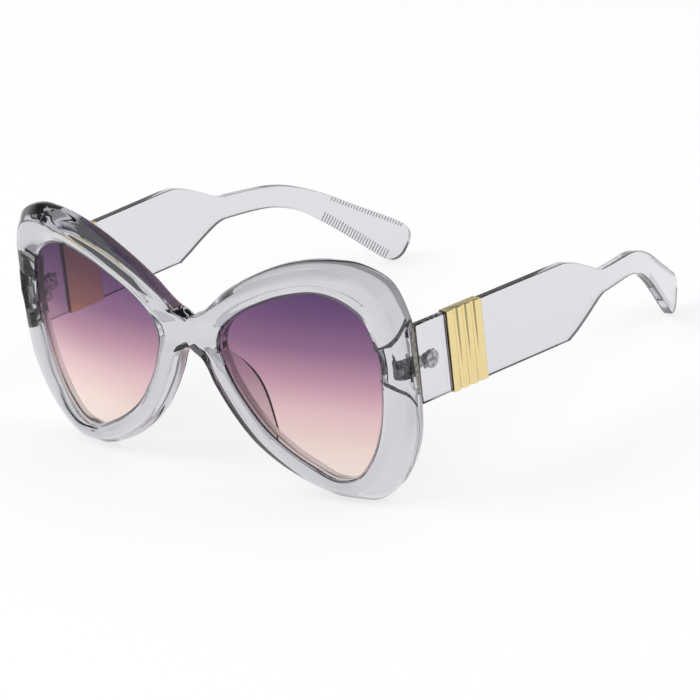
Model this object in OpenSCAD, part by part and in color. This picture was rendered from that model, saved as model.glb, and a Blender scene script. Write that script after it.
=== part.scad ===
// Butterfly sunglasses: a clear moulded front with two gradient lenses, bonded nose pads,
// three-knuckle hinges and wide flat temples, each with a gold band set into it.
// +X is the wearer's left, the front faces -Y, and the part stands on its rims and temple tips.

/* [Lenses] */
// Width of one lens opening
lens_w = 52.2; // [44:0.2:60]
// Height of one lens opening
lens_h = 58; // [48:0.5:66]
// Shortest distance between the two lens openings
lens_gap = 23; // [19:0.2:30]
// Thickness of a lens
lens_t = 2; // [1.6:0.1:2.4]
// How far a lens edge reaches into its groove
lens_seat = 0.9; // [0.5:0.1:1.1]

/* [Front] */
// Width of the rim outside the lens opening
rim_side = 9.6; // [8:0.2:14]
// Height of the rim above the lens opening
rim_top = 9.6; // [7:0.2:13]
// Height of the rim below the lens opening
rim_foot = 6.5; // [5:0.2:9]
// Depth of the rim behind the lens face
rim_back = 5.2; // [4:0.1:6]
// How far the lip stands in front of the lens
rim_lip = 1; // [0.6:0.1:1.4]
// How far the crown of a lobe stands in front of the lens
rim_crown = 2.4; // [1.6:0.1:3.2]
// Width of the slope round the outside of the lobes
rim_slope = 3.8; // [2.4:0.1:4.4]
// Depth of the waist between the upper and the lower lobe
waist_drop = 1.6; // [0.8:0.1:2.4]
// How far the edges of the lobes swell into the waist
lobe_swell = 3; // [1:0.1:3.6]
// Radius of the wrap of the front round the face, seen from above
wrap_r = 270; // [200:5:500]
// Tilt of the front, with its top leaning forward, in degrees
front_tilt = 2.5; // [0:0.5:6]

/* [Nose pads] */
// How far a nose pad stands out behind the rim
pad_depth = 7; // [5:0.5:10]
// Width of a nose pad where it is bonded to the rim
pad_w = 3.4; // [2.4:0.1:4]
// Width of a nose pad at its rear edge
pad_edge = 1.8; // [1.2:0.1:2.2]

/* [Temples] */
// Reach of a temple behind the front, to the end of its tip
temple_l = 149.6; // [130:1:165]
// Thickness of a temple
temple_t = 2.6; // [2.4:0.1:3.4]
// Height of a temple where it meets the front
panel_h = 24.2; // [20:0.2:30]
// Height of a temple at its neck, in front of the ear
neck_h = 6.9; // [5.5:0.1:9]
// Height of a temple tip
tip_h = 12.2; // [9:0.2:15]
// Height of the middle of a temple above the floor, where it meets the front
temple_z = 42.9; // [38:0.1:46]
// Angle at which a temple spreads outwards, in degrees
splay = 2.3; // [0:0.1:4]
// Radius at which a temple bends inwards behind the trim, seen from above
wrap_in_r = 138; // [120:2:300]

/* [Gold trim] */
// Length of the gold band along the temple
band_l = 15; // [9:0.5:18]
// Distance from the front end of the temple to the gold band
band_start = 13.5; // [12.6:0.1:16]
// How far the band stands proud of the temple all round
band_proud = 0.25; // [0:0.05:0.5]
// Length of the tenon at each end of the band
tenon_l = 2; // [1.4:0.1:3]
// Height of a tenon
tenon_h = 14; // [8:0.5:16]
// Thickness of a tenon
tenon_t = 1.2; // [0.8:0.1:1.4]
// Radius of the flutes across the band
flute_r = 1.1; // [0.6:0.1:1.4]

/* [Hinges] */
// Radius of a hinge knuckle
knuckle_r = 1.5; // [1.3:0.05:1.8]
// Height of the middle knuckle
knuckle_h = 2.4; // [1.8:0.1:3.2]
// Radius of the hinge screw
screw_r = 0.7; // [0.5:0.05:0.8]
// Radius of the head of the hinge screw
screw_head_r = 1.15; // [1:0.05:1.2]
// Radius of the round anchor that holds the hinge in the temple
anchor_r = 2.65; // [2:0.05:3]
// Depth of the round anchor in the temple
anchor_depth = 1.6; // [1.2:0.1:1.8]
// Depth of the ribbed stud that holds the hinge in the front
stud_depth = 3.4; // [2.4:0.1:3.6]
// Height of the ribbed stud
stud_h = 5.4; // [4:0.1:6.4]

/* [Fits] */
// Gap between the front and the end of a temple
joint_gap = 0.3; // [0.2:0.05:0.5]
// Gap round a part that is pressed or bonded in place
seat_gap = 0.06; // [0.03:0.01:0.1]
// Gap between a lens and its groove
groove_gap = 0.15; // [0.1:0.01:0.25]
// Radial gap between the hinge screw and the knuckle that turns on it
running_gap = 0.05; // [0.02:0.01:0.09]

/* [Hidden] */

// Facets of the round metal parts
round_n = 48;
// Overrun of every cut
over = 1;

// Overall sizes that follow from the driving ones
half_w = lens_gap / 2 + lens_w + rim_side;
front_h = rim_foot + lens_h + rim_top;
// Place of the lens face at the bridge, in front of the hinge line
face_y = 10.8;
// Height at which the tilted front crosses that place
tilt_share = 0.543;
tilt_z = front_h * tilt_share;

// Outline of the lens opening, from the top of the bridge over the brow and round the cheek,
// as shares of the opening's width from the nose and of its height from the bottom
lens_shares = [
    [0.015, 0.691], [0.052, 0.748], [0.132, 0.814], [0.301, 0.900], [0.504, 0.971],
    [0.692, 1.000], [0.841, 0.960], [0.931, 0.888], [0.969, 0.802], [0.985, 0.735],
    [1.000, 0.633], [0.999, 0.575], [0.979, 0.412], [0.937, 0.260], [0.868, 0.122],
    [0.761, 0.019], [0.638, 0.000], [0.508, 0.053], [0.362, 0.129], [0.239, 0.219],
    [0.136, 0.336], [0.059, 0.453], [0.019, 0.547], [0.002, 0.612], [0.002, 0.653]];
// Outline of the rim at the same places, as shares of half the front's width and of its height;
// it is cut flat where it meets the floor
rim_shares = [
    [0.000, 0.667], [0.080, 0.718], [0.178, 0.802], [0.333, 0.897], [0.491, 0.965],
    [0.662, 1.000], [0.824, 0.988], [0.930, 0.925], [0.964, 0.850], [0.981, 0.785],
    [0.992, 0.600], [0.992, 0.430], [0.981, 0.310], [0.943, 0.200], [0.878, 0.095],
    [0.777, 0.011], [0.640, -0.004], [0.495, 0.038], [0.368, 0.106], [0.263, 0.189],
    [0.171, 0.306], [0.103, 0.423], [0.050, 0.527], [0.000, 0.560], [0.000, 0.620]];
// Height of the crown at the same places
crown_shares = [0.15, 0.7, 0.85, 1, 1, 1, 1, 1, 1, 0.9, 0.8, 0.9, 1,
                1, 0.9, 0.75, 0.8, 0.75, 0.75, 0.75, 0.75, 0.7, 0.5, 0.2, 0.1];
// Width of the outer slope at the same places
slope_shares = [0, 0.25, 0.7, 0.9, 1, 1, 1, 1, 1, 1, 0.5, 1, 1,
                1.1, 1.2, 1.2, 0.9, 0.6, 0.45, 0.35, 0.25, 0.2, 0.2, 0, 0];
// Swell of the lobe edges across the waist, down from the upper lobe and up from the lower one
swell_shares = [0, 0, 0, 0, 0, 0, 0, 0, 0, -1.3, 0, 1.1, 0,
                0, 0, 0, 0, 0, 0, 0, 0, 0, 0, 0, 0];
// Places where the waist starts and ends, counted along the outlines
waist_start = 9;
waist_end = 11;
// Half the width of the step there, on the same count
step_count_share = 0.06;
// Rings between one outline place and the next
ring_steps = 3;
// Rounding of the rear outer edge, and the upright band beside it
rear_round = 0.6;
side_band = 1.9;
// Front surface of a lobe across its width, as shares of that width and of the crown's height
lobe_across_shares = [0.12, 0.3, 0.5];
lobe_height_shares = [0.72, 0.95, 1];
// Height of the surface where the outer slope starts, and the place and depth of its middle
slope_start_share = 0.86;
slope_middle_share = 0.42;
slope_depth_share = 0.22;
// How much of the waist's drop is left where that slope starts
waist_fade_share = 0.4;
// Growth of the swell from the lens outwards, up to the turn at the rim's outer edge
swell_gain = 1.61;
swell_power = 6;

// The hinge line: where the rear of the end piece, the temples and the knuckles lie
seat_y = 3.3;
temple_inset = 1.1;
plate_t = 0.5;
knuckle_clear = 0.3;
hinge_lift = -0.6;
temple_y = seat_y + joint_gap;
temple_x = half_w - temple_inset;
hinge_x = temple_x - temple_t - knuckle_r - knuckle_clear;
hinge_y = seat_y + plate_t + knuckle_clear + knuckle_r;
hinge_z = temple_z + hinge_lift;
knuckle_gap = 0.12;
outer_knuckle_h = 2.2;
plate_h = 7.2;
leaf_t = 0.7;
leaf_l = 8.6;
leaf_h = 4.4;
leaf_start = 4;
anchor_s = 6.5;
stud_w = 2.6;
stud_rib = 0.35;
stud_taper = 0.3;
stud_tip_t = 0.4;
stud_offset = 0.3;
rib_shares = [0.3, 0.55, 0.8];
rib_l_share = 0.16;
head_h = 0.8;
slot_w = 0.35;
slot_d = 0.35;
screw_end = 0.3;
thread_gap = 0.03;

// Depth of the whole part, and the shift that puts its origin under its middle
tip_y = temple_y + temple_l;
nose_y = face_y + rim_crown;
middle_y = (tip_y - nose_y) / 2;

function mixed(a, b, t) = a + (b - a) * t;
function pick(list, i) = list[(i + len(list)) % len(list)];
function curve(a, b, c, d, t) =
    (2 * b + (c - a) * t + (2 * a - 5 * b + 4 * c - d) * t * t
        + (3 * b - a - 3 * c + d) * t * t * t) / 2;
// A value on the smooth closed curve through a table's points, and one on straight lines
function smooth(list, u) =
    let (i = floor(u))
    curve(pick(list, i - 1), pick(list, i), pick(list, i + 1), pick(list, i + 2), u - i);
function level(list, u) =
    let (i = floor(u))
    mixed(pick(list, i), pick(list, i + 1), u - i);

// Depth of the lens face at a place across and up the front
function face_at(x, z) = x * x / (2 * wrap_r) - face_y - (z - tilt_z) * tan(front_tilt);
// Depth of the rim's rear face
function rear_at(x, z) = min(face_at(x, z) + rim_back, seat_y);
// Outline places of the lens opening and of the rim
function lens_place(u) =
    let (s = smooth(lens_shares, u))
    [lens_gap / 2 + lens_w * s[0], rim_foot + lens_h * s[1]];
function rim_place(u) =
    let (s = smooth(rim_shares, u))
    [max(0, half_w * s[0]), max(0, front_h * s[1])];
// The rim meets its mirror image where its outline lies on the middle of the bridge
function on_bridge(u) = rim_place(u)[0] == 0;
// How far a place belongs to the waist, from 0 on the lobes to 1
function ramp(t) = max(0, min(1, t));
function waist_at(u) =
    min(ramp((u - waist_start + step_count_share) / (2 * step_count_share)),
        ramp((waist_end + step_count_share - u) / (2 * step_count_share)));
function swell_at(across) = swell_gain * across * (1 - pow(across, swell_power));

outline_n = len(lens_shares);
ring_counts = [
    for (i = [0:outline_n - 1], k = [0:ring_steps - 1])
        let (u = i + k / ring_steps)
        each (u == waist_start || u == waist_end
            ? [u - step_count_share, u + step_count_share] : [u])];

// One section of the rim, from the lens opening over the front to the outside,
// back across the rear and into the lens groove
function rim_ring(u) =
    let (
        inner = lens_place(u),
        outer = rim_place(u),
        wide = norm(outer - inner),
        along = (outer - inner) / wide,
        crown = rim_crown * level(crown_shares, u),
        slope = on_bridge(u) ? 0 : rim_slope * level(slope_shares, u),
        round_off = on_bridge(u) ? 0 : rear_round,
        swell = lobe_swell * level(swell_shares, u),
        waist = waist_at(u),
        groove = lens_seat + groove_gap,
        // Distance outwards and the height in front of the lens, on a lobe and in the waist
        front = [
            [0, rim_lip, rim_lip],
            [wide * lobe_across_shares[0],
                mixed(rim_lip, crown, lobe_height_shares[0]), rim_lip],
            [wide * lobe_across_shares[1], crown * lobe_height_shares[1], rim_crown - waist_drop],
            [wide * lobe_across_shares[2], crown * lobe_height_shares[2], rim_crown - waist_drop],
            [wide - slope, crown * slope_start_share, rim_crown - waist_drop * waist_fade_share],
            [wide - slope * slope_middle_share, -rim_back * slope_depth_share,
                -rim_back * slope_depth_share],
            [wide, side_band - rim_back, side_band - rim_back]],
        rear = [wide - round_off, wide / 2, wide * lobe_across_shares[0]])
    concat(
        [for (f = front)
            let (place = inner + along * f[0] + [0, swell * swell_at(f[0] / wide)])
            [place[0], min(face_at(place[0], place[1]) - mixed(f[1], f[2], waist),
                seat_y - side_band), place[1]]],
        [[outer[0], mixed(rear_at(outer[0], outer[1]), seat_y, waist) - rear_round, outer[1]]],
        [for (d = rear)
            let (place = inner + along * d)
            [place[0], d < wide / 2 ? rear_at(place[0], place[1])
                : mixed(rear_at(place[0], place[1]), seat_y, waist), place[1]]],
        [for (d = [
                [0, rim_back - rear_round], [0, lens_t + groove_gap],
                [groove, lens_t + groove_gap], [groove, -groove_gap], [0, -groove_gap]])
            let (place = inner + along * d[0])
            [place[0], face_at(place[0], place[1]) + d[1], place[1]]]);

function middle(points) = [for (k = [0:2]) [for (p = points) p[k]] * [for (p = points) 1]]
    / len(points);

// Skin over a list of rings: closed into a loop, or with a fan over each end
module skin(rings, loop = false) {
    n = len(rings);
    m = len(rings[0]);
    ends = loop ? [] : [middle(rings[0]), middle(rings[n - 1])];
    walls = [
        for (i = [0:(loop ? n - 1 : n - 2)], j = [0:m - 1])
            let (a = i * m, b = ((i + 1) % n) * m, k = (j + 1) % m)
            each [[a + j, b + j, b + k], [a + j, b + k, a + k]]];
    fans = loop ? [] : [
        for (j = [0:m - 1])
            let (k = (j + 1) % m, z = (n - 1) * m)
            each [[n * m, j, k], [n * m + 1, z + k, z + j]]];
    polyhedron(concat([for (r = rings) each r], ends), concat(walls, fans), convexity = 10);
}

// The part's origin goes under its middle
module centred() {
    translate([0, -middle_y, 0]) children();
}

// The wearer's left is drawn, and the right is its mirror image
module sided(left) {
    centred() mirror([left ? 0 : 1, 0, 0]) children();
}

// The temple's own frame: +Y along it, X 0 on its outer face and its thickness towards -X
module on_temple() {
    translate([temple_x, temple_y, 0]) rotate([0, 0, -splay]) children();
}

// The whole front in one skin: the rim's sections and their mirror images, which share
// their outermost points on the middle of the bridge and have no wall there
first_shared = 4;
last_shared = 8;
module rims() {
    rings = [for (u = ring_counts) rim_ring(u)];
    shared = [for (u = ring_counts) on_bridge(u)];
    n = len(rings);
    m = len(rings[0]);
    walls = [
        for (left = [true, false], i = [0:n - 1], j = [0:m - 1])
            let (
                next = (i + 1) % n,
                k = (j + 1) % m,
                a = rim_corner(i, j, m, left || is_shared(shared[i], j) ? 0 : n * m),
                b = rim_corner(next, j, m, left || is_shared(shared[next], j) ? 0 : n * m),
                c = rim_corner(next, k, m, left || is_shared(shared[next], k) ? 0 : n * m),
                d = rim_corner(i, k, m, left || is_shared(shared[i], k) ? 0 : n * m),
                inside = shared[i] && shared[next] && j >= first_shared && j < last_shared)
            each (inside ? [] : left ? [[a, b, c], [a, c, d]] : [[a, c, b], [a, d, c]])];
    polyhedron(
        concat(
            [for (r = rings) each r],
            [for (r = rings) each [for (p = r) [-p[0], p[1], p[2]]]]),
        walls, convexity = 10);
}
function rim_corner(i, j, m, shift) = i * m + j + shift;
function is_shared(ring, j) = ring && j >= first_shared && j <= last_shared;

// The ribbed stud that holds the front's hinge half, grown by a gap where it cuts its pocket
module stud(grow) {
    translate([hinge_x + stud_offset, seat_y, hinge_z]) {
        hull() {
            stud_slab(-stud_depth, stud_tip_t, -stud_taper, grow);
            stud_slab(-plate_t, plate_t * 2, 0, grow);
        }
        for (share = rib_shares)
            hull() {
                stud_slab(-stud_depth * share, stud_depth * rib_l_share, 0, grow);
                stud_slab(-stud_depth * share, stud_rib / 2, stud_rib, grow);
            }
    }
}

// A slab across the stud, from one depth over a thickness, wider by a flare
module stud_slab(start, thick, flare, grow) {
    wide = stud_w + 2 * (flare + grow);
    translate([-wide / 2, start - grow, -stud_h / 2 - grow])
        cube([wide, thick + 2 * grow, stud_h + 2 * grow]);
}

module front_frame() {
    color("#d9d9de", 0.5) centred() difference() {
        rims();
        stud(seat_gap);
        mirror([1, 0, 0]) stud(seat_gap);
    }
}

// A lens: the opening's outline grown into the groove, on the same curved face
lens_ring_shares = [0.04, 0.35, 0.7, 1];
lens_middle_shares = [0.5, 0.55];
function lens_ring(share, depth) =
    let (
        centre = [lens_gap / 2 + lens_w * lens_middle_shares[0],
            rim_foot + lens_h * lens_middle_shares[1]])
    [for (u = ring_counts)
        let (
            inner = lens_place(u),
            outer = rim_place(u),
            edge = inner + (outer - inner) * lens_seat / norm(outer - inner),
            place = mixed(centre, edge, share))
        [place[0], face_at(place[0], place[1]) + depth, place[1]]];

module lens() {
    color("#9b7492", 0.7)
        skin(concat(
            [for (share = lens_ring_shares) lens_ring(share, lens_t)],
            [for (i = [len(lens_ring_shares) - 1:-1:0]) lens_ring(lens_ring_shares[i], 0)]));
}

// A nose pad: a fin bonded to the rear of the rim along the nose, deepest at mid height.
// Its ends are shares of the way round the rim's outline.
pad_top_share = 0.904;
pad_bottom_share = 0.744;
pad_steps = 12;
pad_inset = 0.5;
pad_lean_share = 0.42;
pad_round = 0.6;
function pad_ring(t) =
    let (
        u = outline_n * mixed(pad_top_share, pad_bottom_share, t),
        inner = lens_place(u),
        outer = rim_place(u),
        along = (inner - outer) / norm(inner - outer),
        deep = pad_round * 2 + (pad_depth - pad_round * 2) * sin(180 * t),
        across = [
            [pad_inset, 0], [pad_inset, pad_round],
            [pad_inset + (pad_w - pad_edge) / 2 + pad_lean_share * deep, deep - pad_round],
            [pad_inset + (pad_w - pad_edge / 2) / 2 + pad_lean_share * deep, deep],
            [pad_inset + (pad_w + pad_edge / 2) / 2 + pad_lean_share * deep, deep],
            [pad_inset + (pad_w + pad_edge) / 2 + pad_lean_share * deep, deep - pad_round],
            [pad_inset + pad_w, pad_round], [pad_inset + pad_w, 0]])
    [for (a = across)
        let (place = outer + along * a[0])
        [place[0], rear_at(place[0], place[1]) + seat_gap + a[1], place[1]]];

module nose_pad() {
    color("#e4e4ea", 0.5) skin([for (i = [0:pad_steps]) pad_ring(i / pad_steps)]);
}

// A vertical barrel round the hinge line, from one height to another
module knuckle(low, high) {
    translate([hinge_x, hinge_y, low]) cylinder(h = high - low, r = knuckle_r, $fn = round_n);
}

// A bore along the hinge line
module hinge_bore(r, low, high) {
    translate([hinge_x, hinge_y, low]) cylinder(h = high - low, r = r, $fn = round_n);
}

inner_half = knuckle_h / 2;
outer_low = inner_half + knuckle_gap;
outer_high = outer_low + outer_knuckle_h;

module front_hinge() {
    color("#8f9095") difference() {
        union() {
            translate([hinge_x - knuckle_r, seat_y + seat_gap, hinge_z - plate_h / 2])
                cube([knuckle_r * 2, plate_t, plate_h]);
            stud(0);
            for (side = [-1, 1]) {
                low = side > 0 ? hinge_z + outer_low : hinge_z - outer_high;
                knuckle(low, low + outer_knuckle_h);
                translate([hinge_x - knuckle_r, seat_y + seat_gap, low])
                    cube([knuckle_r * 2, hinge_y - seat_y - seat_gap, outer_knuckle_h]);
            }
        }
        hinge_bore(screw_r + running_gap, hinge_z, hinge_z + outer_high + over);
        hinge_bore(screw_head_r + seat_gap, hinge_z + outer_high - head_h,
            hinge_z + outer_high + over);
        hinge_bore(screw_r + thread_gap, hinge_z - outer_high - over, hinge_z);
    }
}

module hinge_screw() {
    color("#b9bac0") translate([hinge_x, hinge_y, hinge_z]) difference() {
        union() {
            translate([0, 0, -outer_high - screw_end])
                cylinder(h = outer_high * 2 + screw_end - slot_d, r = screw_r, $fn = round_n);
            translate([0, 0, outer_high - head_h + seat_gap])
                cylinder(h = head_h, r = screw_head_r, $fn = round_n);
        }
        translate([-screw_head_r * 2, -slot_w / 2, outer_high + seat_gap - slot_d])
            cube([screw_head_r * 4, slot_w, slot_d + over]);
    }
}

module temple_hinge() {
    color("#8f9095") difference() {
        union() {
            knuckle(hinge_z - inner_half, hinge_z + inner_half);
            // Web from the middle knuckle to the leaf
            translate([hinge_x, hinge_y, hinge_z - inner_half])
                cube([temple_x - temple_t - seat_gap - hinge_x, leaf_start, knuckle_h]);
            on_temple() {
                translate([-temple_t - seat_gap - leaf_t, leaf_start, hinge_z - leaf_h / 2])
                    cube([leaf_t, leaf_l - leaf_start, leaf_h]);
                translate([-temple_t - seat_gap - leaf_t / 2, anchor_s, hinge_z])
                    rotate([0, 90, 0])
                        cylinder(h = anchor_depth + seat_gap + leaf_t / 2, r = anchor_r,
                            $fn = round_n);
            }
        }
        hinge_bore(screw_r + running_gap, hinge_z - inner_half - over,
            hinge_z + inner_half + over);
    }
}

// Path of the temple behind the band: distance along as a share of the temple's length,
// and how far its middle has come down, as a share of the way to the tip's resting height
path_shares = [
    [0.440, 0.146], [0.475, 0.150], [0.520, 0.160], [0.566, 0.175], [0.600, 0.188],
    [0.671, 0.222], [0.720, 0.264], [0.770, 0.348], [0.820, 0.478], [0.872, 0.640],
    [0.925, 0.808], [0.952, 0.894], [0.970, 0.950], [0.9768, 0.984], [0.9812, 1.001]];
tip_rest_share = 0.219;
// Half height at the same places, as shares of the panel's, the neck's and the tip's
half_shares = [
    [1, 0, 0], [0.85, 0, 0], [0.45, 0.5, 0], [0.05, 1, 0], [0, 1.06, 0],
    [0, 1, 0], [0, 1, 0], [0, 0.75, 0.16], [0, 0.36, 0.48], [0, 0, 0.8],
    [0, 0, 0.97], [0, 0, 1.03], [0, 0, 1.02], [0, 0, 0.68], [0, 0, 0.34]];

// Height of the middle of the temple's panel at a distance along it: it falls to the rear
panel_drop = 5.8;
panel_end = temple_l * path_shares[0][0];
function panel_middle(s) = temple_z - panel_drop * s / panel_end;

module panel(start, end, grow = 0) {
    translate([grow, 0, 0]) rotate([0, -90, 0])
        linear_extrude(height = temple_t + 2 * grow)
            polygon([
                [panel_middle(start) - panel_h / 2 - grow, start],
                [panel_middle(start) + panel_h / 2 + grow, start],
                [panel_middle(end) + panel_h / 2 + grow, end],
                [panel_middle(end) - panel_h / 2 - grow, end]]);
}

band_end = band_start + band_l;

// A tenon of the band, level with one of its ends, or its socket where it is grown by a gap
module tenon(start, end, place, grow) {
    translate([-temple_t / 2 - tenon_t / 2 - grow, start,
            panel_middle(place) - tenon_h / 2 - grow])
        cube([tenon_t + 2 * grow, end - start, tenon_h + 2 * grow]);
}

module temple_front() {
    color("#d9d9de", 0.5) on_temple() difference() {
        panel(0, band_start - seat_gap);
        translate([-temple_t - over, anchor_s, hinge_z]) rotate([0, 90, 0])
            cylinder(h = over + anchor_depth + seat_gap, r = anchor_r + seat_gap, $fn = round_n);
        tenon(band_start - tenon_l - seat_gap, band_start + over, band_start, seat_gap);
    }
}

flute_shares = [0.25, 0.5, 0.75];
flute_sink_share = 0.5;
module trim_band() {
    color("#e6d193") on_temple() difference() {
        union() {
            panel(band_start, band_end, band_proud);
            tenon(band_start - tenon_l, band_start + band_proud, band_start, 0);
            tenon(band_end - band_proud, band_end + tenon_l, band_end, 0);
        }
        for (share = flute_shares)
            translate([band_proud + flute_r * flute_sink_share,
                    band_start + band_l * share, temple_z - panel_h])
                cylinder(h = 2 * panel_h, r = flute_r, $fn = round_n);
    }
}

bend_start_share = 0.4;
bend_end_share = 0.83;
corner_r = 0.5;
socket_r = 0.04;
function temple_half(i) =
    half_shares[i] * [panel_h / 2, neck_h / 2, tip_h / 2];
// The temple bends inwards between two shares of its length and runs straight behind them
function inward(s) =
    let (
        bend_end = temple_l * bend_end_share,
        past = max(0, min(s, bend_end) - temple_l * bend_start_share))
    past * (past / 2 + max(0, s - bend_end)) / wrap_in_r;
function path_point(i) =
    let (s = temple_l * path_shares[i][0])
    [-inward(s), s, mixed(temple_z, tip_h * tip_rest_share, path_shares[i][1])];

// A section of the temple: a rectangle with cut corners, square to the path
function section(place, heading, pitch, half, thick, c) =
    let (
        up = [sin(heading) * sin(pitch), -cos(heading) * sin(pitch), cos(pitch)],
        out = [cos(heading), sin(heading), 0])
    [for (k = [
            [0, c - half], [-c, -half], [c - thick, -half], [-thick, c - half],
            [-thick, half - c], [c - thick, half], [-c, half], [0, half - c]])
        place + out * k[0] + up * k[1]];

function path_ring(i) =
    let (
        last = len(path_shares) - 1,
        before = path_point(max(0, i - 1)),
        after = path_point(min(last, i + 1)),
        way = after - before,
        heading = atan2(-way[0], way[1]),
        pitch = atan2(way[2], norm([way[0], way[1]])))
    section(path_point(i), heading, pitch, temple_half(i), temple_t, corner_r);

// The socket for the band's tenon, at a distance along the temple
function socket_ring(s) =
    section([(tenon_t - temple_t) / 2 + seat_gap, s, panel_middle(band_end)], 0, 0,
        tenon_h / 2 + seat_gap, tenon_t + 2 * seat_gap, socket_r);

module temple_rear() {
    start = band_end + seat_gap;
    color("#d9d9de", 0.5) on_temple()
        skin(concat(
            [socket_ring(band_end + tenon_l + seat_gap), socket_ring(start),
                section([0, start, panel_middle(start)], 0, 0, panel_h / 2, temple_t, corner_r)],
            [for (i = [0:len(path_shares) - 1]) path_ring(i)]));
}

front_frame();
sided(true) lens();  // lens_left
sided(false) lens();  // lens_right
sided(true) nose_pad();  // nose_pad_left
sided(false) nose_pad();  // nose_pad_right
sided(true) front_hinge();  // front_hinge_left
sided(false) front_hinge();  // front_hinge_right
sided(true) hinge_screw();  // hinge_screw_left
sided(false) hinge_screw();  // hinge_screw_right
sided(true) temple_hinge();  // temple_hinge_left
sided(false) temple_hinge();  // temple_hinge_right
sided(true) temple_front();  // temple_front_left
sided(false) temple_front();  // temple_front_right
sided(true) trim_band();  // trim_band_left
sided(false) trim_band();  // trim_band_right
sided(true) temple_rear();  // temple_rear_left
sided(false) temple_rear();  // temple_rear_right
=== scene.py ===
"""Butterfly sunglasses: a clear moulded front, gradient lenses, gold-banded temples and hinges.

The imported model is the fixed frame. Each sub-assembly is a class that builds its pieces round it,
in metres, with +X to the wearer's left, the front facing -Y and +Z up.
"""

import logging
import math
from collections.abc import Callable, Sequence
from dataclasses import dataclass
from enum import Enum

import bmesh
import bpy
from mathutils import Matrix, Vector


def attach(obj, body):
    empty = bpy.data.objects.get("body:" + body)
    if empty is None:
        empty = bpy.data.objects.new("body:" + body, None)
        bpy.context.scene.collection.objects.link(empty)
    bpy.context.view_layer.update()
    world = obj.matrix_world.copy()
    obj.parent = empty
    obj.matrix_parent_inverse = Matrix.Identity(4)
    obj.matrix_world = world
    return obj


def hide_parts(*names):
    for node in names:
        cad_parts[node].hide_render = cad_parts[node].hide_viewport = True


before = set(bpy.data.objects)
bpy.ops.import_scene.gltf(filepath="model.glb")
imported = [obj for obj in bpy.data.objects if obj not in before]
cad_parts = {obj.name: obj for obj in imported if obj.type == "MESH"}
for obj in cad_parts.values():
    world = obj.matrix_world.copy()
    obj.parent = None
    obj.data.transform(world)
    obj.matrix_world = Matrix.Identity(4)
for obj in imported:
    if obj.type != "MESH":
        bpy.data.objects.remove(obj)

MM = 0.001
# Places this close to the middle lie in it, in metres
NEAR = 1e-6
# The most of a side that the rounding of a corner takes up
ROUND_SHARE = 0.49
LOG = logging.getLogger("sunglasses")
Face, Link, Material = bpy.types.MeshPolygon, bpy.types.NodeSocket, bpy.types.Material
Node, Piece, Tree = bpy.types.Node, bpy.types.Object, bpy.types.NodeTree
Pair = tuple[float, float]


class Side(Enum):
    """The two sides of the wearer. The value is the sign of X."""

    LEFT = 1
    RIGHT = -1

    @property
    def word(self) -> str:
        """The side's name, as node names end."""
        return self.name.lower()

    @property
    def body(self) -> str:
        """The body that this side's temple rides on."""
        return f"temple_{self.word}"


class Body(Enum):
    """Bodies that don't depend on a side."""

    FRONT = "front"


# Colours and materials


def linear(code: str) -> tuple[float, float, float, float]:
    """Turns an sRGB hex code into a linear colour.

    Args:
        code: Six hex digits after a hash sign.

    Returns:
        Red, green, blue and an alpha of 1.
    """
    parts = [int(code[i : i + 2], 16) / 255 for i in (1, 3, 5)]
    turned = [p / 12.92 if p <= 0.04045 else ((p + 0.055) / 1.055) ** 2.4 for p in parts]
    return (turned[0], turned[1], turned[2], 1.0)


def add_node(tree: Tree, kind: str, links: dict | None = None, **settings) -> Node:
    """Adds a node with its settings, socket values and links.

    Args:
        tree: The node tree that the node goes into.
        kind: The node's type name, without the word that all of them start with.
        links: Sockets by name or number, each with a value, or with the output or node that feeds it.
        **settings: Attributes of the node.

    Returns:
        The new node.
    """
    node = tree.nodes.new(f"ShaderNode{kind}")
    for name, value in settings.items():
        setattr(node, name, value)
    for name, value in (links or {}).items():
        source = value.outputs[0] if isinstance(value, Node) else value
        if isinstance(source, Link):
            tree.links.new(source, node.inputs[name])
        else:
            node.inputs[name].default_value = source
    return node


def set_ramp(node: Node, stops: Sequence[tuple[float, str]]) -> Node:
    """Sets a colour ramp's stops.

    Args:
        node: A colour ramp node.
        stops: Places from 0 to 1, each with a hex colour.

    Returns:
        The same node.
    """
    elements = node.color_ramp.elements
    while len(elements) < len(stops):
        elements.new(1.0)
    for element, (place, code) in zip(elements, stops, strict=True):
        element.position = place
        element.color = linear(code)
    return node


@dataclass(frozen=True)
class Finish:
    """A surface finish that makes one material."""

    name: str

    def start(self) -> tuple[Material, Tree, Link]:
        """Starts an empty material.

        Returns:
            The material, its node tree and its object coordinates.
        """
        material = bpy.data.materials.new(self.name)
        material.use_nodes = True
        tree = material.node_tree
        tree.nodes.clear()
        return material, tree, add_node(tree, "TexCoord").outputs["Object"]


@dataclass(frozen=True)
class Clear(Finish):
    """A clear material, which tints the light that it lets through to what lies in its shade."""

    ior: float = 1.5
    roughness: float = 0.01

    def surface(self, tree: Tree, colour: Node | Sequence, shade: Node | Sequence, **normal: Node) -> Node:
        """Makes the surface: glass to the eye, and plainly see-through to the rays that cast shadows.

        Args:
            tree: The material's node tree.
            colour: The glass's colour.
            shade: The colour of the light behind it.
            **normal: The glass's normal, if it is rippled.

        Returns:
            The surface's shader.
        """
        glass = add_node(
            tree, "BsdfPrincipled",
            {"Base Color": colour, "Roughness": self.roughness, "IOR": self.ior,
             "Transmission Weight": 1.0, **normal},
        )  # fmt: skip
        clear = add_node(tree, "BsdfTransparent", {"Color": shade})
        shadow = add_node(tree, "LightPath").outputs["Is Shadow Ray"]
        return add_node(tree, "MixShader", {0: shadow, 1: glass, 2: clear})


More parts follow.
